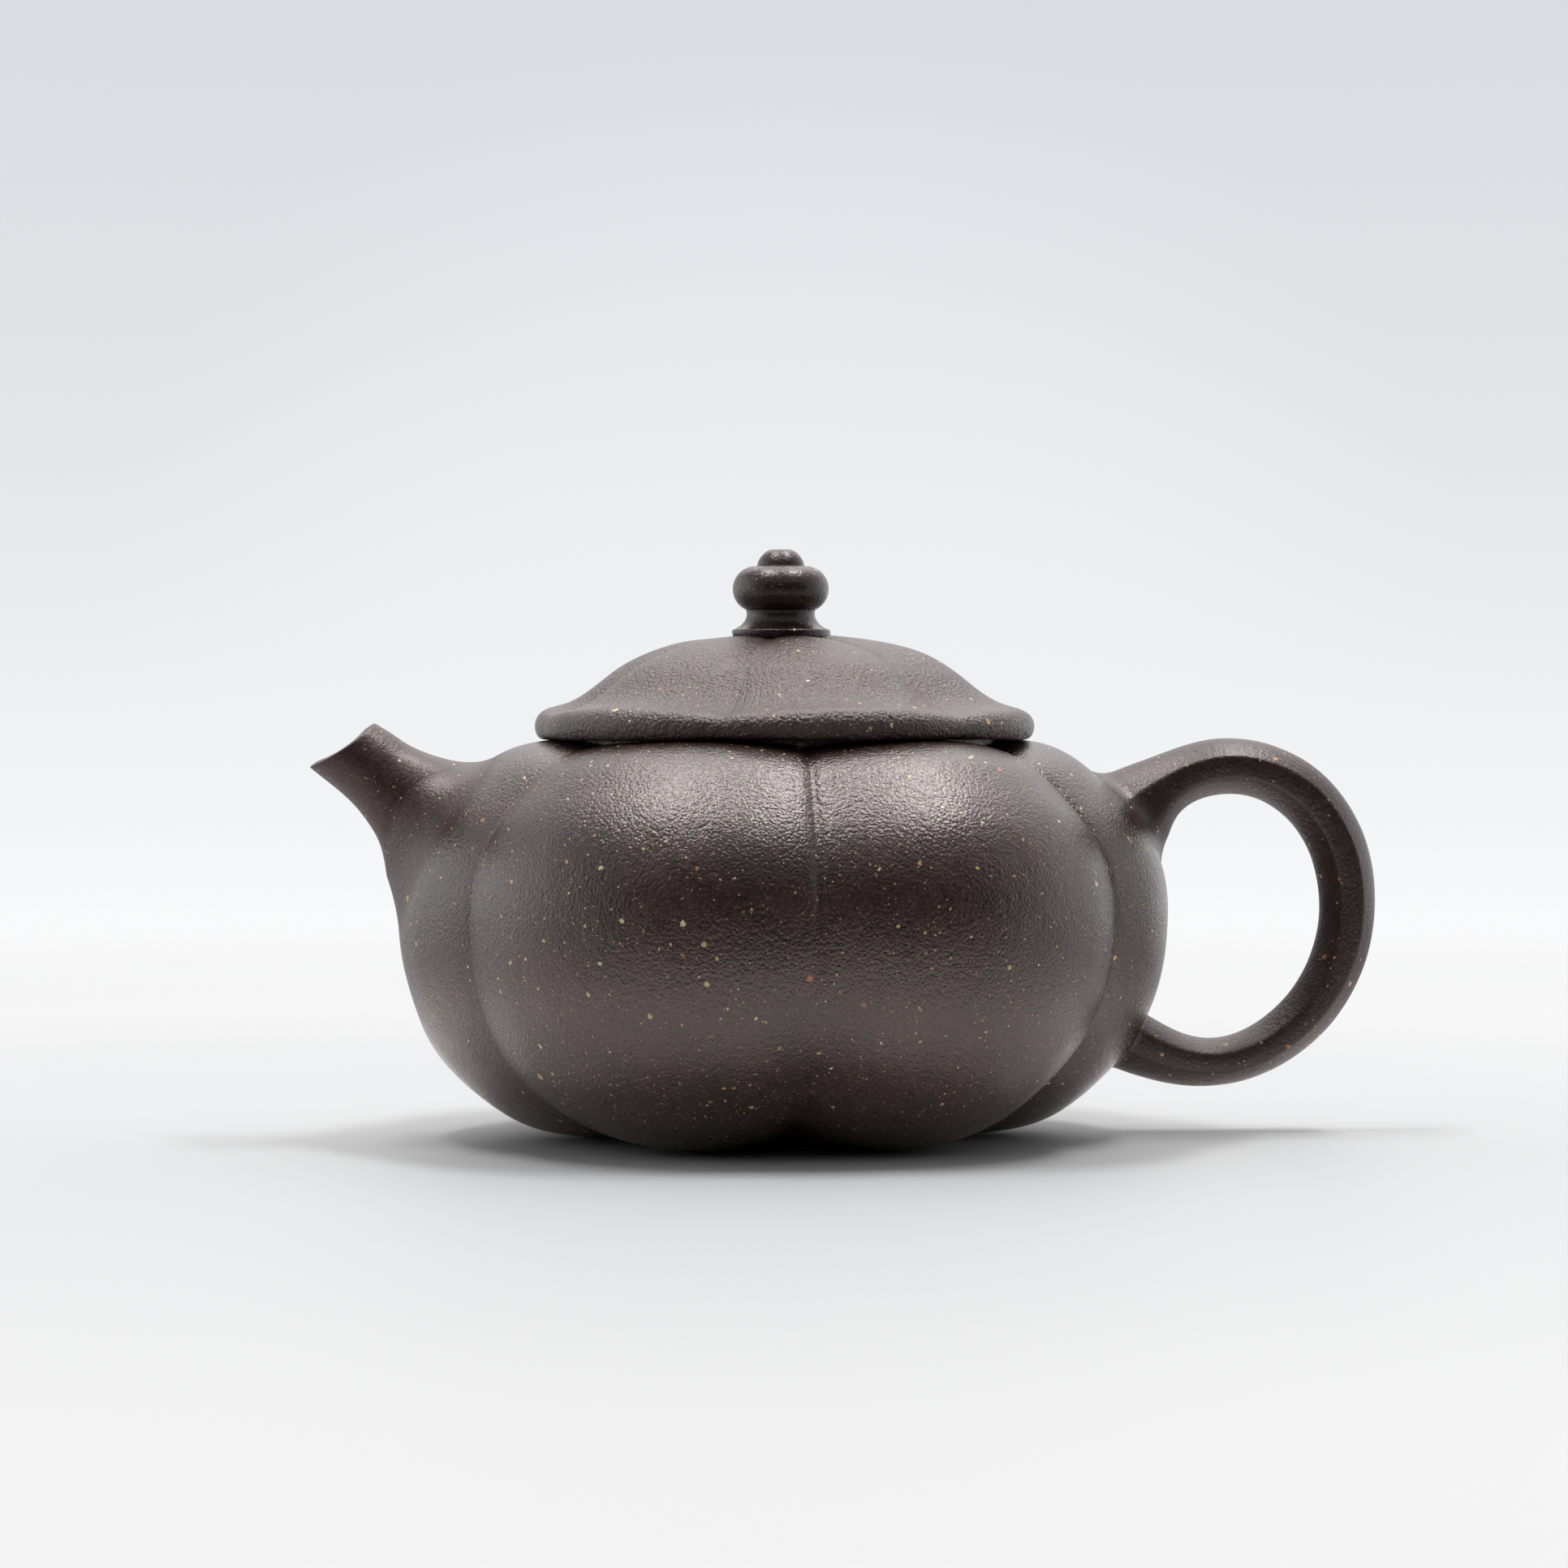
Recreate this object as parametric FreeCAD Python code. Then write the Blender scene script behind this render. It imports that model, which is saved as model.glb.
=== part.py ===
"""A six-lobed unglazed clay teapot with a lift-off lid, built as its potter builds it: slabs, rings, a spout,
a handle and a stacked knob, luted together before firing.

Row frame, in millimetres: +Z is up, the origin is on the pot's axis in the plane that it stands on, the
handle points along +X and the spout along -X. The pot's lobe crests lie at 0, 60, 120 ... degrees and its
grooves halfway between. The lid is round in its mouth, and rests with its own lobes turned by LID_TURN from
the pot's.
"""

import FreeCAD
import Part
import math
import os

# ---- driving dimensions, mm ---------------------------------------------------------------------------------
LOBES = 6
WALL = 2.6                  # thickness of the pot's wall
GROOVE_DEPTH = 3.4          # deepest groove between two lobes
GROOVE_FULL, GROOVE_ENDS = 0.45, 0.85  # shares of the outline where a groove is full and starts to run out
LOBE_RATIO = 0.925          # groove radius over crest radius of the rosette that shapes each lobe
CREASE_SOFTNESS = 0.15      # how much of a groove's depth its rounded crease takes
SEAT_Z = 51.3               # top of the mouth collar, where the lid sits
MOUTH_R = 24.6              # bore of the mouth
COLLAR_R, COLLAR_Z = 27.6, 46.6     # outside and lower edge of the mouth collar
FOOT_R = 21.0               # outside of the flat ring that the pot stands on
RECESS_R, RECESS_DEPTH = 18.0, 1.2  # pushed-in middle of the base
BASE_JOINT_R = 22.0         # where the base slab meets the wall
SHOULDER_JOINT_R = 36.0     # where the shoulder slab meets the wall

LID_R = 32.35               # outside of the lid's lip at a crest
LID_WALL = 3.0
LID_CEILING_R, LID_CEILING_Z = 13.0, 60.6  # a point halfway down the lid's hollow underside
LID_CORNER_Z = 56.6         # where that underside meets the flange
LID_GROOVE = 0.9            # depth of the lid's grooves
LID_TURN = math.radians(-19.5)
LID_GAP = 0.02              # the fired lid rests this far above the collar
LIP_JOINT_R, LIP_JOINT_Z = 28.0, 53.2  # inside and top of the ring that is luted under the lid's edge
FLANGE_CLEARANCE = 0.3      # between the lid's flange and the mouth
FLANGE_WALL, FLANGE_DEPTH = 2.2, 7.5
VENT_R = 0.8                # steam hole down through the knob

KNOB_FOOT_R, KNOB_FOOT_Z = 6.3, 64.9
KNOB_WAIST_R, KNOB_WAIST_Z = 4.75, 66.0    # a point on the neck's flare
KNOB_NECK_R, KNOB_NECK_Z = 4.35, 67.6      # top of the neck, where the bead starts
KNOB_BEAD_R, KNOB_BEAD_Z, KNOB_BEAD_ROUND = 6.2, 70.35, 2.95
KNOB_TIP_R, KNOB_TIP_Z = 3.1, 73.25        # bottom of the tip, where the bead ends
KNOB_DOME_R, KNOB_DOME_Z = 2.6, 74.7       # a point on the tip's dome
KNOB_TOP_R, KNOB_TOP_Z = 1.3, 75.6

SPOUT_WALL = 1.7
SPOUT_BORE_R = 6.2          # widest that the bore gets, at the pot's wall
SPOUT_MOUTH_R = 24.0        # the mouth is cut along this gentle curve
SPOUT_MOUTH_SAG = 0.55      # how far the curve dips below the second section
STRAINER_R, STRAINER_WALL, STRAINER_HOLE_R = 8.2, 1.3, 0.8
STRAINER_X, STRAINER_Z = -43.4, 38.4       # middle of the strainer's dome
STRAINER_AIM = (0.85, 0, -0.53)            # from the spout into the pot
STRAINER_RINGS = ((24, 6), (48, 11))       # (tilt off the aim in degrees, holes) of each ring of holes

# Outlines as (distance from the axis, height), from the top to the bottom.
POT_OUTLINE = [(25.5, 51.25), (30.0, 51.2), (33.3, 50.7), (37.0, 49.2), (40.85, 46.3), (45.2, 42.0),
               (48.9, 35.0), (49.7, 27.2), (47.9, 17.7), (44.8, 11.5), (40.6, 6.7), (34.1, 2.0),
               (28.5, 0.4), (24.0, 0.05), (FOOT_R, 0.0)]
LID_BOTTOM = SEAT_Z + LID_GAP
LID_OUTLINE = [(3.0, 64.3), (8.0, 63.95), (14.4, 63.3), (18.6, 62.0), (22.2, 60.0), (25.9, 57.2),
               (28.6, 55.85), (30.4, 55.3), (31.45, 54.95), (32.1, 54.3), (LID_R, 53.1), (32.0, 51.95),
               (31.1, 51.45), (29.6, LID_BOTTOM)]

# The spout's sections from beyond its mouth to inside the wall: (lower point, upper point, half width).
SPOUT_SECTIONS = [
    ((64.2, 50.6), (55.2, 55.2), 4.4),
    ((61.0, 47.7), (52.6, 53.3), 4.5),
    ((58.2, 45.5), (50.4, 51.95), 4.8),
    ((55.3, 42.8), (47.8, 50.3), 5.3),
    ((53.2, 40.0), (44.6, 49.05), 6.2),
    ((51.7, 36.6), (41.3, 48.35), 7.6),
    ((50.6, 31.0), (38.2, 48.3), 9.6),
    ((46.5, 27.0), (34.5, 46.2), 10.6),
]
# The handle's sections from inside the wall at the top to inside the wall at the bottom:
# (outer point, inner point, half width).
HANDLE_SECTIONS = [
    ((36.4, 43.2), (45.2, 32.6), 6.4),
    ((41.3, 46.2), (49.2, 36.3), 5.7),
    ((48.0, 48.9), (51.4, 41.1), 4.7),
    ((58.7, 51.4), (58.7, 44.1), 4.2),
    ((71.2, 46.2), (66.3, 40.5), 4.2),
    ((77.6, 30.2), (70.2, 30.1), 4.2),
    ((71.2, 13.2), (66.1, 18.0), 4.1),
    ((56.2, 5.9), (55.6, 12.2), 4.1),
    ((43.8, 8.1), (47.0, 15.6), 4.6),
    ((37.6, 10.8), (41.6, 19.2), 5.0),
]
# Half of the handle's section, from its back to its belly: (out, across), each from -1 to 1.
HANDLE_SECTION = [(1.0, 0.0), (0.9, 0.38), (0.68, 0.7), (0.36, 0.95), (0.0, 1.0), (-0.4, 0.95),
                  (-0.72, 0.7), (-0.93, 0.36), (-1.0, 0.0)]

V = FreeCAD.Vector
HALF_LOBE = math.pi / LOBES
AROUND_PER_LOBE = 16        # stations round one lobe of a lobed surface
POT_STATIONS, LID_STATIONS = 34, 44     # stations along the pot's and the lid's outlines
SPOUT_STATIONS, SPOUT_AROUND = 22, 24
HANDLE_STATIONS = 40
REACH = 40.0                # longer than anything that a cutting tool has to pass through


# ---- skins --------------------------------------------------------------------------------------------------
def spline(points, parameters=None):
    """A smooth curve through (x, z) points, in the XZ plane."""
    curve = Part.BSplineCurve()
    vectors = [V(x, 0, z) for x, z in points]
    if parameters:
        curve.interpolate(Points=vectors, Parameters=parameters)
    else:
        curve.interpolate(vectors)
    return curve


def skin(rings):
    """The solid with a smooth skin through closed rings of points, whose first and last rings are flat."""
    around = [i / len(rings[0]) for i in range(len(rings[0]) + 1)]
    along = [j / (len(rings) - 1) for j in range(len(rings))]
    loops = []
    for ring in rings:
        loop = Part.BSplineCurve()
        loop.interpolate(Points=ring, PeriodicFlag=True, Parameters=around)
        loops.append(loop)
    columns = []
    for i in range(loops[0].NbPoles):
        column = Part.BSplineCurve()
        column.interpolate(Points=[loop.getPole(i + 1) for loop in loops], Parameters=along)
        columns.append(column)
    surface = Part.BSplineSurface()
    surface.buildFromPolesMultsKnots(
        [column.getPoles() for column in columns],
        loops[0].getMultiplicities(), columns[0].getMultiplicities(),
        loops[0].getKnots(), columns[0].getKnots(), True, False, 3, 3,
    )
    side = surface.toShape()
    caps = [Part.Face(Part.Wire([edge])) for edge in side.Edges if edge.isClosed()]
    shell = Part.makeShell([side] + caps)
    shell.sewShape()
    solid = Part.Solid(shell)
    if solid.Volume < 0:
        solid.reverse()
    return solid


def circle_crest(angle):
    """Radius at an angle off the crest of a circular lobe whose crest radius is 1."""
    offset = (1 - LOBE_RATIO**2) / (2 * (1 - LOBE_RATIO * math.cos(HALF_LOBE)))
    lobe = 1 - offset
    return offset * math.cos(angle) + math.sqrt(lobe**2 - (offset * math.sin(angle)) ** 2)


def crest_share(angle, softness):
    """1 at a lobe's crest and about 0 in a groove, whose crease is rounded by softness."""
    off = abs((angle + HALF_LOBE) % (2 * HALF_LOBE) - HALF_LOBE)
    here, neighbour = (
        (circle_crest(a) - LOBE_RATIO) / (1 - LOBE_RATIO) for a in (off, 2 * HALF_LOBE - off)
    )
    blend = max(softness - abs(here - neighbour), 0) / softness
    return max(here, neighbour) + blend**2 * softness / 4


def stations_around():
    """Angles round the axis, closer together near the grooves."""
    angles = []
    for lobe in range(LOBES):
        for i in range(AROUND_PER_LOBE):
            t = 2 * i / AROUND_PER_LOBE - 1
            spread = 0.35 * t + 0.65 * (1.5 * t - 0.5 * t**3)
            angles.append((2 * lobe + spread) * HALF_LOBE)
    return angles


def lobed_solid(points, stations, depth, softness, inward=0.0, turn=0.0):
    """The solid inside an outline carried round the axis, with grooves cut along the outline's own normal.

    depth and softness give a groove's depth, and how rounded its crease is, at a share 0 to 1 of the way along
    the outline. inward moves the whole skin into the solid, and turn turns the lobes about the axis.
    """
    outline = spline(points)
    first, last = outline.FirstParameter, outline.LastParameter
    rings = []
    for j in range(stations + 1):
        s = j / stations
        here = outline.value(first + s * (last - first))
        tangent = outline.tangent(first + s * (last - first))[0]
        normal = V(-tangent.z, 0, tangent.x)
        ring = []
        for angle in stations_around():
            p = here - normal * (depth(s) * (1 - crest_share(angle, softness)) + inward)
            ring.append(V(p.x * math.cos(angle + turn), p.x * math.sin(angle + turn), p.z))
        rings.append(ring)
    return skin(rings)


def pot_depth(s):
    """A pot groove's depth, which runs out just short of the foot ring."""
    rise = math.sin(math.pi / 2 * min(s / GROOVE_FULL, 1)) ** 0.65
    run_out = max(s - GROOVE_ENDS, 0) / (1 - GROOVE_ENDS)
    return GROOVE_DEPTH * rise * math.sqrt(max(1 - run_out**2, 0))


def lid_depth(s):
    return LID_GROOVE * max(math.sin(math.pi * s**1.3), 0) ** 0.6


def ring_of(inner, outer, bottom, top):
    return Part.makeCylinder(outer, top - bottom, V(0, 0, bottom)).cut(
        Part.makeCylinder(inner, top - bottom + 2, V(0, 0, bottom - 1)))


def turned(edges):
    """The solid of a closed outline in the XZ plane turned about the axis."""
    return Part.Face(Part.Wire(edges)).revolve(V(0, 0, 0), V(0, 0, 1), 360)


def line(a, b):
    return Part.makeLine(V(a[0], 0, a[1]), V(b[0], 0, b[1]))


def arc(a, middle, b):
    return Part.Arc(V(a[0], 0, a[1]), V(middle[0], 0, middle[1]), V(b[0], 0, b[1])).toShape()


def section_splines(sections):
    """Smooth curves through the sections' first points, second points and half widths."""
    distance = [0.0]
    for (a0, b0, _), (a1, b1, _) in zip(sections, sections[1:]):
        step = [(a1[k] + b1[k] - a0[k] - b0[k]) / 2 for k in (0, 1)]
        distance.append(distance[-1] + math.hypot(step[0], step[1]))
    first = spline([s[0] for s in sections], distance)
    second = spline([s[1] for s in sections], distance)
    width = spline([(d, s[2]) for d, s in zip(distance, sections)], distance)
    return first, second, width, distance[-1]


def cut_holes(shape, at, directions, radius):
    for direction in directions:
        shape = shape.cut(Part.makeCylinder(radius, REACH, at, direction))
    return shape


# ---- the pot ------------------------------------------------------------------------------------------------
def pot_solid(inward=0.0):
    return lobed_solid(POT_OUTLINE, POT_STATIONS, pot_depth, CREASE_SOFTNESS, inward)


def base_dome(height):
    """The sphere that pushes in the middle of the base, with its edge at a height."""
    radius = (RECESS_R**2 + RECESS_DEPTH**2) / (2 * RECESS_DEPTH)
    return Part.makeSphere(radius, V(0, 0, height + RECESS_DEPTH - radius))


def spout_tube(inset, widest=REACH):
    """The spout's outside, or with an inset its bore, which grows no wider than widest."""
    lower, upper, width, length = section_splines(SPOUT_SECTIONS)
    rings = []
    for j in range(SPOUT_STATIONS + 1):
        along = length * j / SPOUT_STATIONS
        low, high = lower.value(along), upper.value(along)
        middle, reach = (low + high) * 0.5, (high - low) * 0.5
        half = min(reach.Length - inset, widest)
        across = min(width.value(along).z - inset, widest)
        reach = reach.normalize() * half
        ring = []
        for i in range(SPOUT_AROUND):
            turn = 2 * math.pi * i / SPOUT_AROUND
            p = middle + reach * math.cos(turn)
            ring.append(V(-p.x, across * math.sin(turn), p.z))
        rings.append(ring)
    return skin(rings)


def mouth_cutter():
    """The wide cylinder that trims the spout's mouth along a gentle hollow curve."""
    (low_x, low_z), (high_x, high_z), _ = SPOUT_SECTIONS[1]
    middle = V(-(low_x + high_x) / 2, 0, (low_z + high_z) / 2)
    out = V(low_z - high_z, 0, low_x - high_x).normalize()
    if out.z < 0:
        out = out * -1
    centre = middle + out * (SPOUT_MOUTH_R - SPOUT_MOUTH_SAG) - V(0, REACH / 2, 0)
    return Part.makeCylinder(SPOUT_MOUTH_R, REACH, centre, V(0, 1, 0))


def pierced_dome(inside):
    """The strainer: a thin dome over the spout's opening, kept to what lies inside the pot."""
    at, aim = V(STRAINER_X, 0, STRAINER_Z), V(*STRAINER_AIM).normalize()
    dome = Part.makeSphere(STRAINER_R, at).cut(Part.makeSphere(STRAINER_R - STRAINER_WALL, at)).common(inside)
    side = V(0, 1, 0)
    up = side.cross(aim)
    directions = [aim]
    for tilt, count in STRAINER_RINGS:
        for i in range(count):
            turn = 2 * math.pi * i / count
            away = side * math.cos(turn) + up * math.sin(turn)
            directions.append(aim * math.cos(math.radians(tilt)) + away * math.sin(math.radians(tilt)))
    return cut_holes(dome, at, directions, STRAINER_HOLE_R)


def handle_bar():
    back, belly, width, length = section_splines(HANDLE_SECTIONS)
    rings = []
    for j in range(HANDLE_STATIONS + 1):
        along = length * j / HANDLE_STATIONS
        outer, inner = back.value(along), belly.value(along)
        middle, reach = (outer + inner) * 0.5, (outer - inner) * 0.5
        half = [(middle + reach * out, width.value(along).z * side) for out, side in HANDLE_SECTION]
        near = [V(p.x, -side, p.z) for p, side in half]
        far = [V(p.x, side, p.z) for p, side in half[-2:0:-1]]
        rings.append(near + far)
    return skin(rings)


outside = pot_solid()
cavity = pot_solid(WALL).cut(base_dome(WALL))
shell = outside.cut(base_dome(0)).cut(cavity)

base_tool = Part.makeCylinder(BASE_JOINT_R, REACH / 2, V(0, 0, -REACH / 4))
shoulder_tool = Part.makeCylinder(SHOULDER_JOINT_R, REACH, V(0, 0, REACH))
collar_tool = Part.makeCylinder(COLLAR_R, REACH, V(0, 0, REACH))
bore = spout_tube(SPOUT_WALL, SPOUT_BORE_R)

body_wall = shell.cut(base_tool).cut(shoulder_tool).cut(bore)
base_disc = shell.common(base_tool)
shoulder_disc = shell.common(shoulder_tool).cut(collar_tool)
mouth_ring = ring_of(MOUTH_R, COLLAR_R, COLLAR_Z, SEAT_Z)
spout = spout_tube(0.0).cut(mouth_cutter()).cut(outside).cut(bore)
strainer = pierced_dome(cavity)
handle = handle_bar().cut(outside)

# ---- the lid ------------------------------------------------------------------------------------------------
lid_outside = lobed_solid(LID_OUTLINE, LID_STATIONS, lid_depth, CREASE_SOFTNESS, turn=LID_TURN)
flange_r = MOUTH_R - FLANGE_CLEARANCE
hollow_r = flange_r - FLANGE_WALL
ceiling_z = LID_OUTLINE[0][1] - LID_WALL
hollow = turned([
    arc((0, ceiling_z), (LID_CEILING_R, LID_CEILING_Z), (hollow_r, LID_CORNER_Z)),
    line((hollow_r, LID_CORNER_Z), (hollow_r, 0)),
    line((hollow_r, 0), (0, 0)),
    line((0, 0), (0, ceiling_z)),
])
vent = Part.makeCylinder(VENT_R, REACH, V(0, 0, SEAT_Z))
lip_tool = ring_of(LIP_JOINT_R, 2 * LIP_JOINT_R, COLLAR_Z, LIP_JOINT_Z)

lid_disc = lid_outside.cut(lip_tool).cut(hollow).cut(vent)
lid_edge_ring = lid_outside.common(lip_tool)
lid_flange = ring_of(hollow_r, flange_r, SEAT_Z - FLANGE_DEPTH, LID_BOTTOM)

bead_middle = KNOB_BEAD_R - KNOB_BEAD_ROUND
bead_low_r, bead_high_r = (
    bead_middle + math.sqrt(KNOB_BEAD_ROUND**2 - (z - KNOB_BEAD_Z) ** 2) for z in (KNOB_NECK_Z, KNOB_TIP_Z)
)
knob_neck = turned([
    arc((KNOB_FOOT_R, KNOB_FOOT_Z), (KNOB_WAIST_R, KNOB_WAIST_Z), (KNOB_NECK_R, KNOB_NECK_Z)),
    line((KNOB_NECK_R, KNOB_NECK_Z), (0, KNOB_NECK_Z)),
    line((0, KNOB_NECK_Z), (0, ceiling_z)),
    line((0, ceiling_z), (KNOB_FOOT_R, ceiling_z)),
    line((KNOB_FOOT_R, ceiling_z), (KNOB_FOOT_R, KNOB_FOOT_Z)),
]).cut(lid_outside).cut(vent)
knob_bead = turned([
    arc((bead_low_r, KNOB_NECK_Z), (KNOB_BEAD_R, KNOB_BEAD_Z), (bead_high_r, KNOB_TIP_Z)),
    line((bead_high_r, KNOB_TIP_Z), (0, KNOB_TIP_Z)),
    line((0, KNOB_TIP_Z), (0, KNOB_NECK_Z)),
    line((0, KNOB_NECK_Z), (bead_low_r, KNOB_NECK_Z)),
]).cut(vent)
knob_tip = turned([
    arc((KNOB_TIP_R, KNOB_TIP_Z), (KNOB_DOME_R, KNOB_DOME_Z), (KNOB_TOP_R, KNOB_TOP_Z)),
    line((KNOB_TOP_R, KNOB_TOP_Z), (0, KNOB_TOP_Z)),
    line((0, KNOB_TOP_Z), (0, KNOB_TIP_Z)),
    line((0, KNOB_TIP_Z), (KNOB_TIP_R, KNOB_TIP_Z)),
]).cut(vent)

# ---- hand in ------------------------------------------------------------------------------------------------
PARTS = {
    "body_wall": body_wall, "base_disc": base_disc, "shoulder_disc": shoulder_disc, "mouth_ring": mouth_ring,
    "spout": spout, "strainer": strainer, "handle": handle,
    "lid_disc": lid_disc, "lid_edge_ring": lid_edge_ring, "lid_flange": lid_flange,
    "knob_neck": knob_neck, "knob_bead": knob_bead, "knob_tip": knob_tip,
}
os.makedirs("parts", exist_ok=True)
for name, shape in PARTS.items():
    solid = max(shape.Solids, key=lambda piece: piece.Volume)
    solid.exportStep("parts/" + name + ".step")
    print(name, "valid:", solid.isValid(), "volume:", round(solid.Volume, 1), "mm3")
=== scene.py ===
"""The lobed clay teapot's visual model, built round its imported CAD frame.

Lengths are millimetres in the row frame until a mesh is made: +Z up, handle along +X, spout along
-X, and lobe crests at 0, 60, 120 ... degrees. A share runs from 0 at the start of an outline to 1
at its end.
"""

import math

import bmesh
import bpy
import numpy as np
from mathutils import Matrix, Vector


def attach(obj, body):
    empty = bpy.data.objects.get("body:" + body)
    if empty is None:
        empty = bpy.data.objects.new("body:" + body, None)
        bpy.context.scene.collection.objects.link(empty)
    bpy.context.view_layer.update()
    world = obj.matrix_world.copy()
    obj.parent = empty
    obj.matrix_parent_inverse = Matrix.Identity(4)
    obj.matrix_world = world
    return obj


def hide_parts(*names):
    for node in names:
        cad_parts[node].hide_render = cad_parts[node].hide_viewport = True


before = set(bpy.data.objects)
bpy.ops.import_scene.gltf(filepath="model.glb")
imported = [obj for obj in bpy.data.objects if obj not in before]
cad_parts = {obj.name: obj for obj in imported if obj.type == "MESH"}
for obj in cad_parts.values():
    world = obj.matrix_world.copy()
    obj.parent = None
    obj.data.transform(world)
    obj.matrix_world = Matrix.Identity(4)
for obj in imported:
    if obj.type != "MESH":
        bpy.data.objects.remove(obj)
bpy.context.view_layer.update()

MM = 0.001
FINE = 1.0

# ---- the pot's dimensions, as in the CAD --------------------------------------------------------
LOBES = 6
HALF_LOBE = math.pi / LOBES
LOBE_RATIO = 0.925                      # a groove's distance from the axis, over a crest's
WALL = 2.6
SEAT_Z = 51.3
MOUTH_R = 24.6
COLLAR_R, COLLAR_Z = 27.6, 46.6
FOOT_R = 21.0
RECESS_R, RECESS_DEPTH, RECESS_STEP = 18.0, 1.2, 0.05
BASE_RADII = np.array([20.0, 18.9, 18.4, 18.0, 17.5, 16.5, 13.0, 9.0, 5.0, 1.5])   # inside the foot
LID_R, LID_WALL = 32.35, 3.0
LID_CORNER_Z = 56.6
LID_TURN = math.radians(-19.5)          # the lid's lobes rest this far from the pot's
LID_BOTTOM = SEAT_Z + 0.02
FLANGE_R, FLANGE_WALL, FLANGE_DEPTH = 24.3, 2.2, 7.5
VENT_R = 0.8
KNOB_BEAD_R, KNOB_BEAD_Z, KNOB_BEAD_ROUND = 6.2, 70.6, 2.95
KNOB_BEAD_FROM, KNOB_BEAD_TO = math.radians(-69), math.radians(79.5)
SPOUT_WALL, SPOUT_BORE_R = 1.7, 6.2
SPOUT_HOLE_R = 5.6                      # of the hole in the belly's wall behind the spout
LIP_RISE, MOUTH_SAG = 0.3, 0.5          # the spout's rounded lip, and how its mouth dips sideways

# Outlines are (radius, height).
POT_OUTLINE = [
    (25.5, 51.25), (30.0, 51.2), (33.3, 50.7), (37.0, 49.2), (40.85, 46.3), (45.2, 42.0),
    (48.9, 35.0), (49.7, 27.2), (47.9, 17.7), (44.8, 11.5), (40.6, 6.7), (34.1, 2.0),
    (28.5, 0.4), (24.0, 0.05), (FOOT_R, 0.0),
]
LID_OUTLINE = [
    (3.0, 64.75), (8.0, 64.4), (14.4, 63.55), (18.6, 62.1), (22.2, 60.05), (25.9, 57.25),
    (28.6, 55.85), (30.2, 55.4), (31.3, 54.95), (32.0, 54.25), (LID_R, 53.2), (32.2, 52.1),
    (31.65, 51.35), (30.9, 51.14), (29.6, 51.24),
]
HOLLOW_R, CEILING_Z = FLANGE_R - FLANGE_WALL, LID_OUTLINE[0][1] - LID_WALL
LID_CEILING = [
    (HOLLOW_R - 0.25, LID_CORNER_Z - 0.3), (HOLLOW_R - 1.2, LID_CORNER_Z + 0.35), (13.0, 60.6),
    (6.0, 61.15), (VENT_R, CEILING_Z),
]
LID_CROWN = [(VENT_R, 63.4), (VENT_R, 64.7), (1.6, 64.78)]
KNOB_NECK = [
    (4.48, 67.85), (4.40, 67.35), (4.48, 66.9), (4.80, 66.3), (5.3, 65.82), (5.85, 65.5),
    (6.2, 65.36),
]
KNOB_FOOT = [(6.32, 65.27), (6.36, 65.12), (6.36, 64.9), (6.33, 64.6), (6.25, 64.2)]
KNOB_TIP = [
    (3.22, 73.42), (3.08, 73.6), (3.0, 73.88), (2.75, 74.48), (2.25, 75.12), (1.75, 75.52),
    (1.4, 75.67), (1.1, 75.69), (0.92, 75.62), (VENT_R, 75.4),
]
# Sections are (distance from the axis, height) of two opposite sides, then the half width.
SPOUT_SECTIONS = [
    ((64.2, 50.6), (55.2, 55.2), 4.4),
    ((61.0, 47.7), (52.6, 53.3), 4.5),
    ((58.2, 45.5), (50.4, 51.95), 4.8),
    ((55.3, 42.8), (47.8, 50.3), 5.3),
    ((53.2, 40.0), (44.6, 49.05), 6.2),
    ((51.7, 36.6), (41.3, 48.35), 7.6),
    ((50.6, 31.0), (38.2, 48.3), 9.6),
    ((46.5, 27.0), (34.5, 46.2), 10.6),
]
HANDLE_SECTIONS = [
    ((36.4, 43.2), (45.2, 32.6), 6.4),
    ((41.3, 46.2), (49.2, 36.3), 5.7),
    ((48.0, 48.9), (51.4, 41.1), 4.7),
    ((58.7, 51.4), (58.7, 44.1), 4.2),
    ((71.2, 46.2), (66.3, 40.5), 4.2),
    ((77.6, 30.2), (70.2, 30.1), 4.2),
    ((71.2, 13.2), (66.1, 18.0), 4.1),
    ((56.2, 5.9), (55.6, 12.2), 4.1),
    ((43.8, 8.1), (47.0, 15.6), 4.6),
    ((37.6, 10.8), (41.6, 19.2), 5.0),
]
BACK_EDGE, BACK_WIDTH = 0.36, 0.93      # where the arched back meets the side, in half sections
BELLY_EDGE, BELLY_WIDTH = -0.42, 0.92   # and where the side meets the arched belly
SIDE_ARCH = 0.03                        # how far the side stands out midway
ARCH = 1.5                              # power of the back's and the belly's arch

# ---- the grooves --------------------------------------------------------------------------------
FRONT, HANDLE_SIDE, SPOUT_SIDE = (math.radians(a) for a in (270, 330, 210))
GROOVE_DEPTH = 3.4
GROOVE_FULL, GROOVE_ENDS = 0.45, 0.85   # shares where it gets its full depth and loses it again
GROOVE_RISE = 0.65                      # power of the curve by which it deepens
DEEPER_AT_HANDLE, SHALLOWER_AT_SPOUT = 0.22, 0.25
FRONT_LEAN = 0.04                       # radians by which the front groove drifts low down
CREASE, SOFT_CREASE, SPOUT_CREASE = 0.035, 0.24, 0.13   # how rounded the groove's bottom is
POT_LINE, LID_LINE = 0.46, 0.08         # depth of the fine line along the bottom of each groove
LINE_SPREAD, LINE_ROUNDING = 0.6, 0.10  # how fast its sides run out, and its rounded bottom
LID_GROOVE, LID_CREASE = 1.3, 0.18

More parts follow.
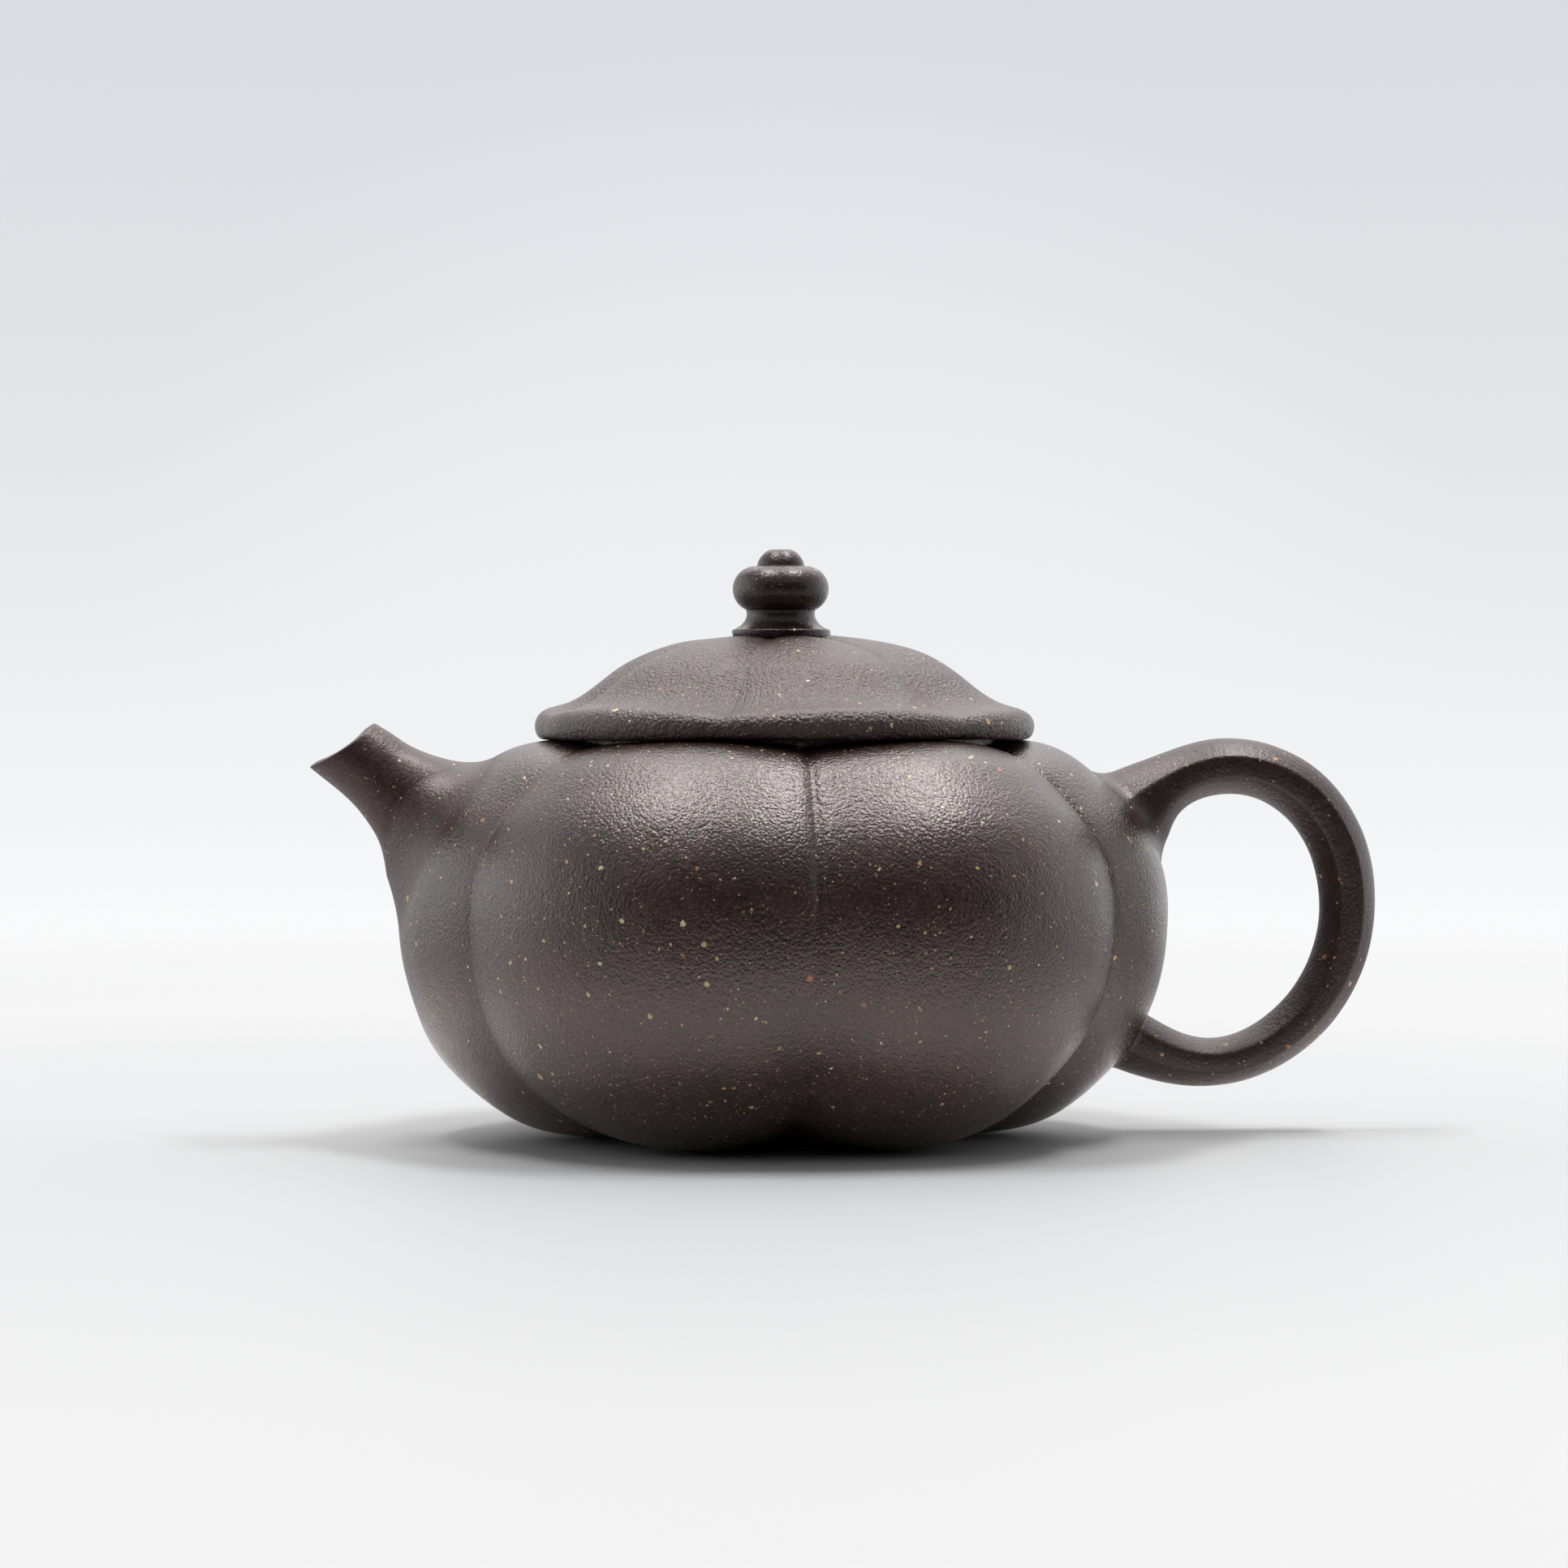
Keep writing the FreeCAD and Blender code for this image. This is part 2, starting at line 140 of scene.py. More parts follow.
# ---- the maker's unevenness ---------------------------------------------------------------------
KNOB_LEAN = 0.42                        # the knob stands this far toward the spout
LID_TILT = 0.003                        # the lid drops this much per mm toward the handle
BELLY_SWELL = 0.4                       # the lower belly is this much fuller on the spout's side
BELLY_SWELL_Z, BELLY_SWELL_HEIGHT, BELLY_R = 9, 6, 40
OVAL, THREE_SIDED = 0.0022, 0.0015      # how far the plan is off round, as parts of its radius
SWAY = 0.06                             # how far the heights wander
HAND_WAVES, LID_WAVES, RING_WAVES = 0.035, 0.055, 0.01  # depth of the marks of smoothing tools


# ---- curves -------------------------------------------------------------------------------------
def unit(v):
    return v / np.maximum(np.linalg.norm(v, axis=-1, keepdims=True), 1e-9)


def smoothstep(low, high, x):
    t = np.clip((x - low) / (high - low), 0, 1)
    return t * t * (3 - 2 * t)


def arc(before, corner, after, t):
    """A quadratic curve that leaves and arrives along the lines to its corner."""
    return (1 - t) ** 2 * before + 2 * t * (1 - t) * corner + t**2 * after


def chords(points):
    """The distance along the chords from the first point to each."""
    return np.concatenate([[0], np.cumsum(np.linalg.norm(np.diff(points, axis=0), axis=1))])


class Curve:
    """A natural cubic spline through points, evaluated at any array of distances along it."""

    def __init__(self, points, knots=None):
        self.y = np.array(points, float)
        self.x = chords(self.y) if knots is None else knots
        self.length = self.x[-1]
        n = len(self.x)
        h = np.diff(self.x)
        system = np.zeros((n, n))
        right = np.zeros((n, self.y.shape[1]))
        system[0, 0] = system[-1, -1] = 1
        for i in range(1, n - 1):
            system[i, i - 1:i + 2] = h[i - 1], 2 * (h[i - 1] + h[i]), h[i]
            right[i] = 6 * ((self.y[i + 1] - self.y[i]) / h[i]
                            - (self.y[i] - self.y[i - 1]) / h[i - 1])
        self.bend = np.linalg.solve(system, right)

    def at(self, t):
        t = np.clip(np.asarray(t, float), 0, self.length)
        i = np.clip(np.searchsorted(self.x, t, side="right") - 1, 0, len(self.x) - 2)
        h = (self.x[i + 1] - self.x[i])[..., None]
        a = (self.x[i + 1] - t)[..., None] / h
        b = 1 - a
        return (a * self.y[i] + b * self.y[i + 1]
                + ((a**3 - a) * self.bend[i] + (b**3 - b) * self.bend[i + 1]) * h**2 / 6)

    def steps(self, count):
        """Evenly spread points, as a list of tuples."""
        return [tuple(p) for p in self.at(np.linspace(0, self.length, count))]


def section_curves(sections):
    """The curves of both sides and of the half width, by distance along the middle."""
    one, other, width = (np.array([np.atleast_1d(s[k]) for s in sections], float)
                         for k in range(3))
    knots = chords((one + other) / 2)
    return Curve(one, knots), Curve(other, knots), Curve(width, knots)


# ---- lobed surfaces -----------------------------------------------------------------------------
def circle_crest(angle):
    """The plan's reach at an angle off a crest, on a lobe that is a circle off the axis."""
    offset = (1 - LOBE_RATIO**2) / (2 * (1 - LOBE_RATIO * math.cos(HALF_LOBE)))
    lobe = 1 - offset
    return offset * np.cos(angle) + np.sqrt(lobe**2 - (offset * np.sin(angle)) ** 2)


def off_crest(angle):
    """The angle to the nearest crest."""
    return np.abs((angle + HALF_LOBE) % (2 * HALF_LOBE) - HALF_LOBE)


def crest_share(angle, softness):
    """1 at a lobe's crest and about 0 in a groove, whose crease is rounded by softness."""
    off = off_crest(angle)
    here = (circle_crest(off) - LOBE_RATIO) / (1 - LOBE_RATIO)
    neighbour = (circle_crest(2 * HALF_LOBE - off) - LOBE_RATIO) / (1 - LOBE_RATIO)
    blend = np.maximum(softness - np.abs(here - neighbour), 0) / softness
    return np.maximum(here, neighbour) + blend**2 * softness / 4


def groove_line(angle, radius):
    """1 along the bottom of a groove, and less the farther off."""
    gap = (HALF_LOBE - off_crest(angle)) * radius
    return np.exp(-(np.sqrt(gap**2 + LINE_ROUNDING) - 0.32) / LINE_SPREAD)


def facing(angle, way, power):
    """1 toward a way, falling to 0 at a quarter turn off it."""
    return np.maximum(np.cos(angle - way), 0) ** power


def angles_around(per_lobe):
    """Angles round the axis, closer together near the grooves."""
    t = 2 * np.arange(per_lobe) / per_lobe - 1
    spread = 0.28 * t + 0.72 * (1.5 * t - 0.5 * t**3)
    return np.concatenate([(2 * lobe + spread) * HALF_LOBE for lobe in range(LOBES)])


class Lobed:
    """An outline carried round the axis, with grooves cut along its own normal."""

    def __init__(self, points, cut):
        self.curve = Curve(points)
        self.cut = cut                  # depth at a share of the outline, an angle and a radius
        self.samples = np.linspace(0, 1, 1500)
        self.sample_points = self.curve.at(self.samples * self.curve.length)
        self.sample_normals = self.normal(self.samples)

    def normal(self, s):
        step = 1e-4
        low, high = np.clip(s - step, 0, 1), np.clip(s + step, 0, 1)
        along = unit(self.curve.at(high * self.curve.length)
                     - self.curve.at(low * self.curve.length))
        return np.stack([-along[..., 1], along[..., 0]], -1)

    def points(self, s, angles, inward=0.0):
        """A grid of points, one row for each share s along the outline."""
        s = np.asarray(s)[:, None] + 0 * angles[None, :]
        outline = self.curve.at(s * self.curve.length)
        cut = self.cut(s, angles[None, :] + 0 * s, outline[..., 0])
        flat = outline - self.normal(s) * (cut + inward)[..., None]
        return np.stack([flat[..., 0] * np.cos(angles), flat[..., 0] * np.sin(angles),
                         flat[..., 1]], -1)

    def distance(self, points):
        """About how far points stand outside the surface, negative inside it."""
        shape = points.shape[:-1]
        p = points.reshape(-1, 3)
        flat = np.stack([np.hypot(p[:, 0], p[:, 1]), p[:, 2]], -1)
        angle = np.arctan2(p[:, 1], p[:, 0])
        found = np.empty(len(p), int)
        batch = 4000
        for first in range(0, len(p), batch):
            part = flat[first:first + batch]
            gap = ((part[:, None, :] - self.sample_points[None, :, :]) ** 2).sum(-1)
            found[first:first + batch] = gap.argmin(1)
        s = self.samples[found]
        out = ((flat - self.sample_points[found]) * self.sample_normals[found]).sum(-1)
        return (out + self.cut(s, angle, self.sample_points[found, 0])).reshape(shape)

    def outward(self, points):
        axes = np.eye(3) * 0.03
        slope = [self.distance(points + a) - self.distance(points - a) for a in axes]
        return unit(np.stack(slope, -1))

    def settle(self, points, level=0.0):
        """The points moved along the surface's normal until they stand level above it."""
        for _ in range(4):
            points = points + self.outward(points) * (level - self.distance(points))[..., None]
        return points


def pot_cut(s, angle, radius):
    front = facing(angle, FRONT, 6)
    angle = angle + FRONT_LEAN * smoothstep(0.6, 0.9, s) * facing(angle, FRONT, 2)
    near_handle, near_spout = facing(angle, HANDLE_SIDE, 2), facing(angle, SPOUT_SIDE, 2)

    rise = np.sin(math.pi / 2 * np.minimum(s / GROOVE_FULL, 1)) ** GROOVE_RISE
    run_out = np.maximum(s - GROOVE_ENDS, 0) / (1 - GROOVE_ENDS)
    depth = GROOVE_DEPTH * rise * np.sqrt(np.maximum(1 - run_out**2, 0))
    depth = depth * (1 + DEEPER_AT_HANDLE * near_handle - SHALLOWER_AT_SPOUT * near_spout)

    # The crease is crisp under the lid, soft on the belly, most of all in front, and crisper at
    # the foot.
    soft = SOFT_CREASE * smoothstep(0.35, 0.6, s) * (1 - 0.7 * smoothstep(0.78, 0.95, s))
    soft = soft * (0.2 + 0.8 * front)
    soft = CREASE + soft + SPOUT_CREASE * near_spout * (1 - smoothstep(0.3, 0.5, s))

    line = POT_LINE * (1 - smoothstep(0.28, 0.62, s)) * np.minimum(rise * 1.5, 1)
    line = line * (1 - 0.8 * near_spout) * (1 - 0.5 * near_handle)
    return depth * (1 - crest_share(angle, soft)) + line * groove_line(angle, radius)


def lid_cut(s, angle, radius):
    rise = np.maximum(np.sin(math.pi * s**1.3), 0) ** 0.6
    angle = angle - LID_TURN
    return rise * (LID_GROOVE * (1 - crest_share(angle, LID_CREASE))
                   + LID_LINE * groove_line(angle, radius))


pot_surface = Lobed(POT_OUTLINE, pot_cut)
lid_surface = Lobed(LID_OUTLINE, lid_cut)
AROUND = angles_around(int(72 * FINE))


# ---- meshes -------------------------------------------------------------------------------------
def handmade(points):
    """The pot as beaten and carved by hand: the same unevenness for all its pieces."""
    x, y, z = points[:, 0], points[:, 1], points[:, 2]
    turn = np.arctan2(y, x)
    bulge = OVAL * np.sin(2 * turn + 0.8) + THREE_SIDED * np.sin(3 * turn + z / 14)
    swell = (BELLY_SWELL / BELLY_R * np.exp(-(((z - BELLY_SWELL_Z) / BELLY_SWELL_HEIGHT) ** 2))
             * smoothstep(10, 35, -x))
    x, y = x * (1 + bulge + swell), y * (1 + bulge + swell)
    on_lid = smoothstep(51.4, 56, z) * (np.hypot(x, y) < LID_R + 2)
    x = x - KNOB_LEAN * smoothstep(62, 66, z)
    sway = SWAY * np.clip(z / 20, 0, 1) * np.sin(x / 13 + 0.5)
    return np.stack([x, y, z + sway - LID_TILT * x * on_lid], -1)


def uneven(points):
    """Shallow waves left by smoothing tools, from -1 to 1."""
    shortest, longest = 4.0, 15.0
    source = np.random.default_rng(7)
    total = np.zeros(len(points))
    for _ in range(26):
        direction = unit(source.normal(size=3))
        wave = source.uniform(shortest, longest)
        phase = points @ direction * (2 * math.pi / wave) + source.uniform(0, 2 * math.pi)
        total += wave / longest * np.sin(phase)
    return total / 3.2


def grid_faces(rows, columns, first=0, wrap_rows=False):
    """Quads between rings of points whose columns close on themselves."""
    j = np.arange(rows if wrap_rows else rows - 1)[:, None]
    i = np.arange(columns)[None, :]
    nj, ni = (j + 1) % rows, (i + 1) % columns
    quads = np.stack([j * columns + i, j * columns + ni, nj * columns + ni, nj * columns + i], -1)
    return (quads + first).reshape(-1, 4).tolist()


def piece(name, body, nodes, points, faces, material, waves=HAND_WAVES):
    """A closed mesh that stands for CAD nodes, from points in millimetres."""
    mesh = bpy.data.meshes.new(name)
    points = handmade(np.asarray(points, float).reshape(-1, 3))
    mesh.from_pydata((points * MM).tolist(), [], faces)
    mesh.validate()
    work = bmesh.new()
    work.from_mesh(mesh)
    bmesh.ops.recalc_face_normals(work, faces=work.faces)
    work.to_mesh(mesh)
    work.free()
    normals = np.zeros(len(mesh.vertices) * 3, np.float32)
    mesh.vertex_normals.foreach_get("vector", normals)
    moved = points + normals.reshape(-1, 3) * (waves * uneven(points))[:, None]
    mesh.vertices.foreach_set("co", (moved * MM).astype(np.float32).ravel())
    mesh.shade_smooth()
    mesh.update()
    made = bpy.data.objects.new(name, mesh)
    bpy.context.scene.collection.objects.link(made)
    mesh.materials.append(material)
    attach(made, body)
    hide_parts(*nodes)
    return made


def turned(name, body, nodes, profile, material, around=192, waves=0.0):
    """A closed profile of (radius, height) turned about the axis."""
    angles = np.linspace(0, 2 * math.pi, int(around * FINE), endpoint=False)
    profile = np.asarray(profile, float)
    points = np.stack([profile[:, :1] * np.cos(angles), profile[:, :1] * np.sin(angles),
                       profile[:, 1:] + 0 * angles], -1)
    faces = grid_faces(len(profile), len(angles), wrap_rows=True)
    return piece(name, body, nodes, points, faces, material, waves)


def circles(pairs, turn=0.0):
    """Rings of points at AROUND's angles, one for each (radius, height)."""
    angles = AROUND + turn
    return np.stack([np.stack([r * np.cos(angles), r * np.sin(angles), z + 0 * angles], -1)
                     for r, z in pairs])


def rounded(corners):
    """A closed outline whose corners, given as (radius, height, rounding), are arcs."""
    out = []
    for k, (*here, reach) in enumerate(corners):
        here = np.array(here, float)
        before = unit(np.array(corners[k - 1][:2]) - here)
        after = unit(np.array(corners[(k + 1) % len(corners)][:2]) - here)
        out += [arc(here + before * reach, here, here + after * reach, t)
                for t in np.linspace(0, 1, 5)]
    return out


# ---- clay ---------------------------------------------------------------------------------------
CLAY_DARK, CLAY_LIGHT = (0.0130, 0.0062, 0.0054), (0.0565, 0.0342, 0.0315)
# Painted shade: the near-black colour put into the pits, standing in for the shade inside them.
PIT_SHADE_COLOUR = (0.006, 0.004, 0.003)
SHEEN_TINT = (1.0, 0.92, 0.91)
GRAIN_TINTS = [         # share of grains before it, tint
    (0.0, (0.58, 0.38, 0.15)), (0.24, (0.66, 0.46, 0.20)), (0.46, (0.42, 0.17, 0.06)),
    (0.60, (0.72, 0.58, 0.36)), (0.78, (0.58, 0.38, 0.16)), (0.92, (0.78, 0.70, 0.56)),
]
GRAIN_LAYERS = [        # cells per mm, share of cells with a grain, its size in cells, strength
    (0.32, 0.42, 0.145, 0.95), (0.60, 0.46, 0.17, 0.95), (1.10, 0.42, 0.19, 0.7),
    (2.0, 0.36, 0.23, 0.7),
]
GRAIN_RELIEF, GRAIN_ROUGHER = 0.06, 0.16
GRAIN_LEAST, GRAIN_SPREAD, GRAIN_CORE = 0.35, 0.75, 0.62    # radii, and the part that is opaque
STIR_WAVES, STIR_REACH = 1.7, 0.55      # what bends the grains out of round, per mm and in mm
CLOUDS, PATCHES, GRIT = (0.06, 3.0), (0.5, 4.0, 0.6), (2.4, 3.0, 0.65)  # noises under the colour
CLOUD_WEIGHT, PATCH_WEIGHT, GRIT_WEIGHT = 0.26, 0.24, 0.50
PATCH_ROUGHER, GRIT_RELIEF = 0.14, 0.25
PIT_CELLS, PIT_SHARE, PIT_SIZE, PIT_SEED = 0.55, 0.16, 0.13, 5
# How strongly the pits are painted with shade, and how deep they dip in the bump.
PIT_SHADE_STRENGTH, PIT_DEPTH = 0.8, 0.9
PEBBLE_CELLS, PEBBLE_RELIEF = 2.3, -0.75
SKIN_NOISES = [         # waves per mm, detail, roughness, relief
    (3.6, 3.0, 0.6, 0.8), (1.3, 2.0, 0.55, 0.6), (0.5, 1.0, 0.5, 0.5),
]
STROKES_AROUND, STROKES_DOWN = 34.0, 0.22


class Nodes:
    """The node tree of a material or a world, filled by short calls."""

    def __init__(self, owner):
        owner.use_nodes = True
        self.tree = owner.node_tree
        self.tree.nodes.clear()

    def feed(self, socket, value):
        if isinstance(value, bpy.types.NodeSocket):
            self.tree.links.new(value, socket)
        else:
            socket.default_value = value

    def add(self, kind, settings=(), **inputs):
        """A new node's outputs; an input's name has _ for each space."""
        made = self.tree.nodes.new("ShaderNode" + kind)
        for key, value in dict(settings).items():
            setattr(made, key, value)
        for key, value in inputs.items():
            self.feed(made.inputs[key.replace("_", " ")], value)
        return made.outputs

    def listed(self, kind, values, **settings):
        """A new node's outputs, its inputs fed in their order."""
        made = self.tree.nodes.new("ShaderNode" + kind)
        for key, value in settings.items():
            setattr(made, key, value)
        for socket, value in zip(made.inputs, values):
            self.feed(socket, value)
        return made.outputs

    def maths(self, operation, *values, clamp=False):
        return self.listed("Math", values, operation=operation, use_clamp=clamp)[0]

    def vector(self, operation, *values):
        return self.listed("VectorMath", values, operation=operation)

    def mix(self, share, a, b):
        a, b = ((*c, 1) if isinstance(c, tuple) else c for c in (a, b))
        return self.add("Mix", {"data_type": "RGBA"}, Factor=share, A=a, B=b)["Result"]

    def ramp(self, value, low, high, start=0.0, end=1.0):
        return self.add("MapRange", {"interpolation_type": "SMOOTHSTEP"}, Value=value,
                        From_Min=low, From_Max=high, To_Min=start, To_Max=end)[0]

    def noise(self, where, scale, detail=2.0, roughness=0.5):
        return self.add("TexNoise", Vector=where, Scale=scale, Detail=detail,
                        Roughness=roughness)[0]

    def agreement(self, direction, way):
        """How far a direction agrees with a way, from -1 to 1."""
        length = math.sqrt(sum(v * v for v in way))
        return self.vector("DOT_PRODUCT", direction, tuple(v / length for v in way))["Value"]


def speckles(n, where, scale, share, size, seed):
    """(mask, random number) of grains, each about size of a Voronoi cell across."""
    shifted = n.vector("ADD", where, (seed * 17.3, seed * 5.1, seed * 9.7))[0]
    cells = n.add("TexVoronoi", {"feature": "F1"}, Vector=shifted, Scale=scale, Randomness=1.0)
    chance, variety, pick = list(n.add("SeparateColor", Color=cells["Color"]))
    chosen = n.maths("LESS_THAN", chance, share)
    radius = n.maths("MULTIPLY_ADD", variety, size * GRAIN_SPREAD, size * GRAIN_LEAST)
    inner = n.maths("MULTIPLY", radius, GRAIN_CORE)
    inside = n.ramp(cells["Distance"], inner, radius, 1.0, 0.0)
    return n.maths("MULTIPLY", chosen, inside), pick


def grain_tint(n, pick):
    made = n.tree.nodes.new("ShaderNodeValToRGB")
    ramp = made.color_ramp
    ramp.interpolation = "CONSTANT"
    while len(ramp.elements) < len(GRAIN_TINTS):
        ramp.elements.new(0.5)
    for stop, (at, tint) in zip(ramp.elements, GRAIN_TINTS):
        stop.position, stop.color = at, (*tint, 1)
    n.feed(made.inputs[0], pick)
    return made.outputs[0]


def clay(name, tone=1.0, rough=0.23, relief=0.85, grains=1.0, brushed=0.0, gloss=0.95):
    """Unglazed purple-brown stoneware: fine pebbly skin, coloured grains, pits painted near black
    as the shade inside them, a dull sheen.
    """
    material = bpy.data.materials.new(name)
    n = Nodes(material)
    metres = n.add("TexCoord")["Object"]
    mm = n.add("VectorMath", {"operation": "SCALE"}, Vector=metres, Scale=1 / MM)[0]
    stir = n.add("TexNoise", Vector=mm, Scale=STIR_WAVES, Detail=1.0)["Color"]
    where = n.vector("MULTIPLY_ADD", stir, (STIR_REACH,) * 3, mm)[0]

    patch, grit = n.noise(mm, *PATCHES), n.noise(mm, *GRIT)
    mixed = n.maths("ADD", n.maths("MULTIPLY", n.noise(mm, *CLOUDS), CLOUD_WEIGHT),
                    n.maths("MULTIPLY", patch, PATCH_WEIGHT))
    mixed = n.maths("ADD", mixed, n.maths("MULTIPLY", grit, GRIT_WEIGHT))
    dark, light = (tuple(v * tone for v in c) for c in (CLAY_DARK, CLAY_LIGHT))
    colour = n.mix(n.ramp(mixed, 0.36, 0.64), dark, light)

    roughness = n.maths("MULTIPLY_ADD", patch, PATCH_ROUGHER, rough - PATCH_ROUGHER / 2)
    height = n.maths("MULTIPLY", grit, GRIT_RELIEF)
    for seed, (cells, share, size, strength) in enumerate(GRAIN_LAYERS, 1):
        mask, pick = speckles(n, where, cells, share * grains, size, seed)
        colour = n.mix(n.maths("MULTIPLY", mask, strength), colour, grain_tint(n, pick))
        height = n.maths("ADD", height, n.maths("MULTIPLY", mask, GRAIN_RELIEF))
        roughness = n.maths("MULTIPLY_ADD", mask, GRAIN_ROUGHER, roughness)
    # Pits: a small dip in the bump, painted near black as the shade that would fall inside them.
    pits, _ = speckles(n, where, PIT_CELLS, PIT_SHARE, PIT_SIZE, PIT_SEED)
    colour = n.mix(n.maths("MULTIPLY", pits, PIT_SHADE_STRENGTH), colour, PIT_SHADE_COLOUR)
    height = n.maths("SUBTRACT", height, n.maths("MULTIPLY", pits, PIT_DEPTH))

    pebble = n.add("TexVoronoi", {"feature": "SMOOTH_F1"}, Vector=mm, Scale=PEBBLE_CELLS,
                   Smoothness=0.4, Randomness=1.0)["Distance"]
    skin = n.maths("MULTIPLY", pebble, PEBBLE_RELIEF)
    for waves, detail, fuzz, weight in SKIN_NOISES:
        skin = n.maths("ADD", skin, n.maths("MULTIPLY", n.noise(mm, waves, detail, fuzz), weight))
    height = n.maths("ADD", height, skin)
    if brushed:
        # Strokes that run from the axis outward, left by the maker's finishing brush.
        x, y, z = list(n.add("SeparateXYZ", Vector=mm))
        turn = n.maths("ARCTAN2", y, x)
        strokes = n.add("CombineXYZ", X=n.maths("MULTIPLY", turn, STROKES_AROUND),
                        Y=n.maths("MULTIPLY", z, STROKES_DOWN))[0]
        hairs = n.noise(strokes, 1.0, 3.0, 0.6)
        height = n.maths("ADD", height, n.maths("MULTIPLY", hairs, brushed))
    normal = n.add("Bump", Strength=1.0, Distance=0.1 * MM * relief, Height=height)[0]
    shader = n.add("BsdfPrincipled", Base_Color=colour, Roughness=roughness, Normal=normal,
                   Specular_IOR_Level=gloss, Specular_Tint=(*SHEEN_TINT, 1))[0]
    n.add("OutputMaterial", Surface=shader)
    return material


pot_clay = clay("pot_clay")
spout_clay = clay("spout_clay", tone=1.15, rough=0.38, relief=0.45, gloss=0.64)
handle_clay = clay("handle_clay", tone=0.76, rough=0.36, relief=0.5, grains=0.6, gloss=0.68)
lid_clay = clay("lid_clay", tone=0.98, rough=0.31, relief=1.9, brushed=1.3)
knob_clay = clay("knob_clay", tone=0.62, rough=0.28, relief=0.45, gloss=0.75)

# ---- the spout's and the handle's skins ---------------------------------------------------------
spout_low, spout_high, spout_width = section_curves(SPOUT_SECTIONS)
handle_back, handle_belly, handle_width = section_curves(HANDLE_SECTIONS)


def spout_skin(t, turn, inset=0.0, widest=None):
    """Points of the spout's skin at distances t along it and turns round it."""
    low, high = spout_low.at(t), spout_high.at(t)
    middle, reach = (low + high) / 2, (high - low) / 2
    half = np.linalg.norm(reach, axis=-1) - inset
    across = spout_width.at(t)[..., 0] - inset
    if widest:
        half, across = np.minimum(half, widest), np.minimum(across, widest)
    flat = middle + unit(reach) * (half * np.cos(turn))[..., None]
    return np.stack([-flat[..., 0], across * np.sin(turn), flat[..., 1]], -1)


def half_section():
    """Half of the handle's section, from the middle of its back to the middle of its belly."""
    def back(k):
        return np.array([1 - (1 - BACK_EDGE) * k**ARCH, BACK_WIDTH * k])

    def belly(k):
        return np.array([-1 + (1 + BELLY_EDGE) * k**ARCH, BELLY_WIDTH * k])

    def flank(k):
        return np.array([BACK_EDGE + (BELLY_EDGE - BACK_EDGE) * k,
                         BACK_WIDTH + (BELLY_WIDTH - BACK_WIDTH) * k
                         + SIDE_ARCH * math.sin(math.pi * k)])

    return ([back(k) for k in np.linspace(0, 0.93, 10)]
            + [arc(back(0.95), back(1.0), flank(0.08), t) for t in np.linspace(0, 1, 4)]
            + [flank(k) for k in np.linspace(0.2, 0.8, 6)]
            + [arc(flank(0.87), belly(1.0), belly(0.90), t) for t in np.linspace(0, 1, 5)]
            + [belly(k) for k in np.linspace(0.85, 0.0, 9)])


half = half_section()
handle_section = np.array([(out, -across) for out, across in half] + half[-2:0:-1])


def handle_skin(t):
    """Points of the handle's skin at distances t, whose last axis runs round the section."""
    back, belly = handle_back.at(t), handle_belly.at(t)
    flat = (back + belly) / 2 + (back - belly) / 2 * handle_section[:, :1]
    across = handle_width.at(t)[..., 0] * handle_section[:, 1]
    return np.stack([flat[..., 0], across, flat[..., 1]], -1)


# ---- the pot's wall, shoulder and base ----------------------------------------------------------
def spout_hole(rings):
    """Which quads between rings lie in the hole behind the spout."""
    t = np.linspace(spout_low.length * 0.45, spout_low.length, 30)
    middle = (spout_low.at(t) + spout_high.at(t)) / 2
    quads = (rings[:-1] + rings[1:]) / 2
    gaps = [np.linalg.norm(quads - (-out, 0, up), axis=-1) for out, up in middle]
    return np.min(gaps, axis=0) < SPOUT_HOLE_R


